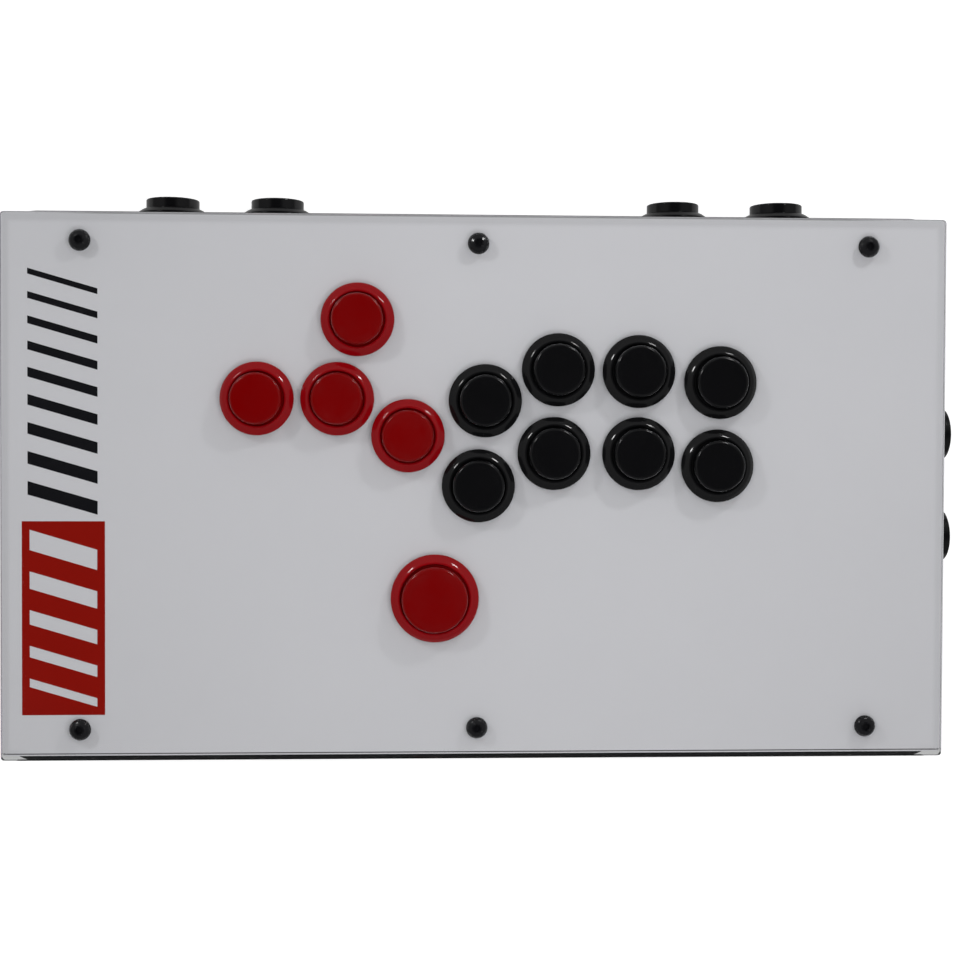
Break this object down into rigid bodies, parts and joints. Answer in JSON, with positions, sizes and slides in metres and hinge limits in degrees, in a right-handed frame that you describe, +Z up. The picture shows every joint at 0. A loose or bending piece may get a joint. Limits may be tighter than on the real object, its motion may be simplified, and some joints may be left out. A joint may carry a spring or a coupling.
{
  "type": "all-button arcade control panel",
  "caption": "Low rectangular tabletop game controller: clear-covered white top with round push buttons, more buttons on the rear and right walls, black steel case on rubber feet.",
  "frame": {"origin": "centre of the object's footprint box, on the table plane the rubber feet stand on", "axes": "+X to the player's right along the long side, +Y away from the player towards the rear wall, +Z up out of the button panel"},
  "size_m": [0.363, 0.213, 0.0542],
  "materials": {
    "bezel_red": "glossy moulded, deep red",
    "plunger_red": "glossy moulded, darker red",
    "bezel_black": "glossy moulded, black",
    "plunger_black": "semi-gloss moulded, black",
    "clear_acrylic": "clear, polished, 3 mm sheet",
    "printed_sheet": "white printed sheet",
    "coated_steel": "satin black powder coat",
    "black_screw": "black oxide",
    "zinc_screw": "zinc plated",
    "foot_rubber": "matte black",
    "circuit_board": "solder mask over glass laminate",
    "socket_shield": "tin plated shield",
    "cable": "insulated wire"
  },
  "bodies": {
    "case": {"acrylic_cover": "clear_acrylic", "artwork_sheet": "printed_sheet", "case_shell": "coated_steel", "base_plate": "coated_steel", "controller_board": "circuit_board", "usb_socket": "socket_shield", "wiring_harness": "cable", "housing_left": "bezel_red", "housing_down": "bezel_red", "housing_up_upper": "bezel_red", "housing_right": "bezel_red", "housing_up_thumb": "bezel_red", "housing_action_top_1": "bezel_black", "housing_action_top_2": "bezel_black", "housing_action_top_3": "bezel_black", "housing_action_top_4": "bezel_black", "housing_action_bottom_1": "bezel_black", "housing_action_bottom_2": "bezel_black", "housing_action_bottom_3": "bezel_black", "housing_action_bottom_4": "bezel_black", "housing_rear_1": "bezel_black", "housing_rear_2": "bezel_black", "housing_rear_3": "bezel_black", "housing_rear_4": "bezel_black", "housing_side_rear": "bezel_black", "housing_side_front": "bezel_black", "cover_screw_rear_left": "black_screw", "cover_screw_rear_center": "black_screw", "cover_screw_rear_right": "black_screw", "cover_screw_front_left": "black_screw", "cover_screw_front_center": "black_screw", "cover_screw_front_right": "black_screw", "base_screw_rear_left": "zinc_screw", "base_screw_rear_right": "zinc_screw", "base_screw_front_left": "zinc_screw", "base_screw_front_right": "zinc_screw", "foot_rear_left": "foot_rubber", "foot_rear_right": "foot_rubber", "foot_front_left": "foot_rubber", "foot_front_right": "foot_rubber"},
    "button_left": {"plunger_left": "plunger_red"},
    "button_down": {"plunger_down": "plunger_red"},
    "button_up_upper": {"plunger_up_upper": "plunger_red"},
    "button_right": {"plunger_right": "plunger_red"},
    "button_up_thumb": {"plunger_up_thumb": "plunger_red"},
    "button_action_top_1": {"plunger_action_top_1": "plunger_black"},
    "button_action_top_2": {"plunger_action_top_2": "plunger_black"},
    "button_action_top_3": {"plunger_action_top_3": "plunger_black"},
    "button_action_top_4": {"plunger_action_top_4": "plunger_black"},
    "button_action_bottom_1": {"plunger_action_bottom_1": "plunger_black"},
    "button_action_bottom_2": {"plunger_action_bottom_2": "plunger_black"},
    "button_action_bottom_3": {"plunger_action_bottom_3": "plunger_black"},
    "button_action_bottom_4": {"plunger_action_bottom_4": "plunger_black"},
    "button_rear_1": {"plunger_rear_1": "plunger_black"},
    "button_rear_2": {"plunger_rear_2": "plunger_black"},
    "button_rear_3": {"plunger_rear_3": "plunger_black"},
    "button_rear_4": {"plunger_rear_4": "plunger_black"},
    "button_side_rear": {"plunger_side_rear": "plunger_black"},
    "button_side_front": {"plunger_side_front": "plunger_black"}
  },
  "joints": [
    {"name": "press_left", "type": "slide", "parent": "case", "child": "button_left", "axis": [0, 0, -1], "range_m": [0, 0.003], "stiffness_N_per_m": 130, "springref_m": -0.002},
    {"name": "press_down", "type": "slide", "parent": "case", "child": "button_down", "axis": [0, 0, -1], "range_m": [0, 0.003], "stiffness_N_per_m": 130, "springref_m": -0.002},
    {"name": "press_up_upper", "type": "slide", "parent": "case", "child": "button_up_upper", "axis": [0, 0, -1], "range_m": [0, 0.003], "stiffness_N_per_m": 130, "springref_m": -0.002},
    {"name": "press_right", "type": "slide", "parent": "case", "child": "button_right", "axis": [0, 0, -1], "range_m": [0, 0.003], "stiffness_N_per_m": 130, "springref_m": -0.002},
    {"name": "press_up_thumb", "type": "slide", "parent": "case", "child": "button_up_thumb", "axis": [0, 0, -1], "range_m": [0, 0.003], "stiffness_N_per_m": 130, "springref_m": -0.002},
    {"name": "press_action_top_1", "type": "slide", "parent": "case", "child": "button_action_top_1", "axis": [0, 0, -1], "range_m": [0, 0.003], "stiffness_N_per_m": 130, "springref_m": -0.002},
    {"name": "press_action_top_2", "type": "slide", "parent": "case", "child": "button_action_top_2", "axis": [0, 0, -1], "range_m": [0, 0.003], "stiffness_N_per_m": 130, "springref_m": -0.002},
    {"name": "press_action_top_3", "type": "slide", "parent": "case", "child": "button_action_top_3", "axis": [0, 0, -1], "range_m": [0, 0.003], "stiffness_N_per_m": 130, "springref_m": -0.002},
    {"name": "press_action_top_4", "type": "slide", "parent": "case", "child": "button_action_top_4", "axis": [0, 0, -1], "range_m": [0, 0.003], "stiffness_N_per_m": 130, "springref_m": -0.002},
    {"name": "press_action_bottom_1", "type": "slide", "parent": "case", "child": "button_action_bottom_1", "axis": [0, 0, -1], "range_m": [0, 0.003], "stiffness_N_per_m": 130, "springref_m": -0.002},
    {"name": "press_action_bottom_2", "type": "slide", "parent": "case", "child": "button_action_bottom_2", "axis": [0, 0, -1], "range_m": [0, 0.003], "stiffness_N_per_m": 130, "springref_m": -0.002},
    {"name": "press_action_bottom_3", "type": "slide", "parent": "case", "child": "button_action_bottom_3", "axis": [0, 0, -1], "range_m": [0, 0.003], "stiffness_N_per_m": 130, "springref_m": -0.002},
    {"name": "press_action_bottom_4", "type": "slide", "parent": "case", "child": "button_action_bottom_4", "axis": [0, 0, -1], "range_m": [0, 0.003], "stiffness_N_per_m": 130, "springref_m": -0.002},
    {"name": "press_rear_1", "type": "slide", "parent": "case", "child": "button_rear_1", "axis": [0, -1, 0], "range_m": [0, 0.003], "stiffness_N_per_m": 130, "springref_m": -0.002},
    {"name": "press_rear_2", "type": "slide", "parent": "case", "child": "button_rear_2", "axis": [0, -1, 0], "range_m": [0, 0.003], "stiffness_N_per_m": 130, "springref_m": -0.002},
    {"name": "press_rear_3", "type": "slide", "parent": "case", "child": "button_rear_3", "axis": [0, -1, 0], "range_m": [0, 0.003], "stiffness_N_per_m": 130, "springref_m": -0.002},
    {"name": "press_rear_4", "type": "slide", "parent": "case", "child": "button_rear_4", "axis": [0, -1, 0], "range_m": [0, 0.003], "stiffness_N_per_m": 130, "springref_m": -0.002},
    {"name": "press_side_rear", "type": "slide", "parent": "case", "child": "button_side_rear", "axis": [-1, 0, 0], "range_m": [0, 0.003], "stiffness_N_per_m": 130, "springref_m": -0.002},
    {"name": "press_side_front", "type": "slide", "parent": "case", "child": "button_side_front", "axis": [-1, 0, 0], "range_m": [0, 0.003], "stiffness_N_per_m": 130, "springref_m": -0.002}
  ]
}
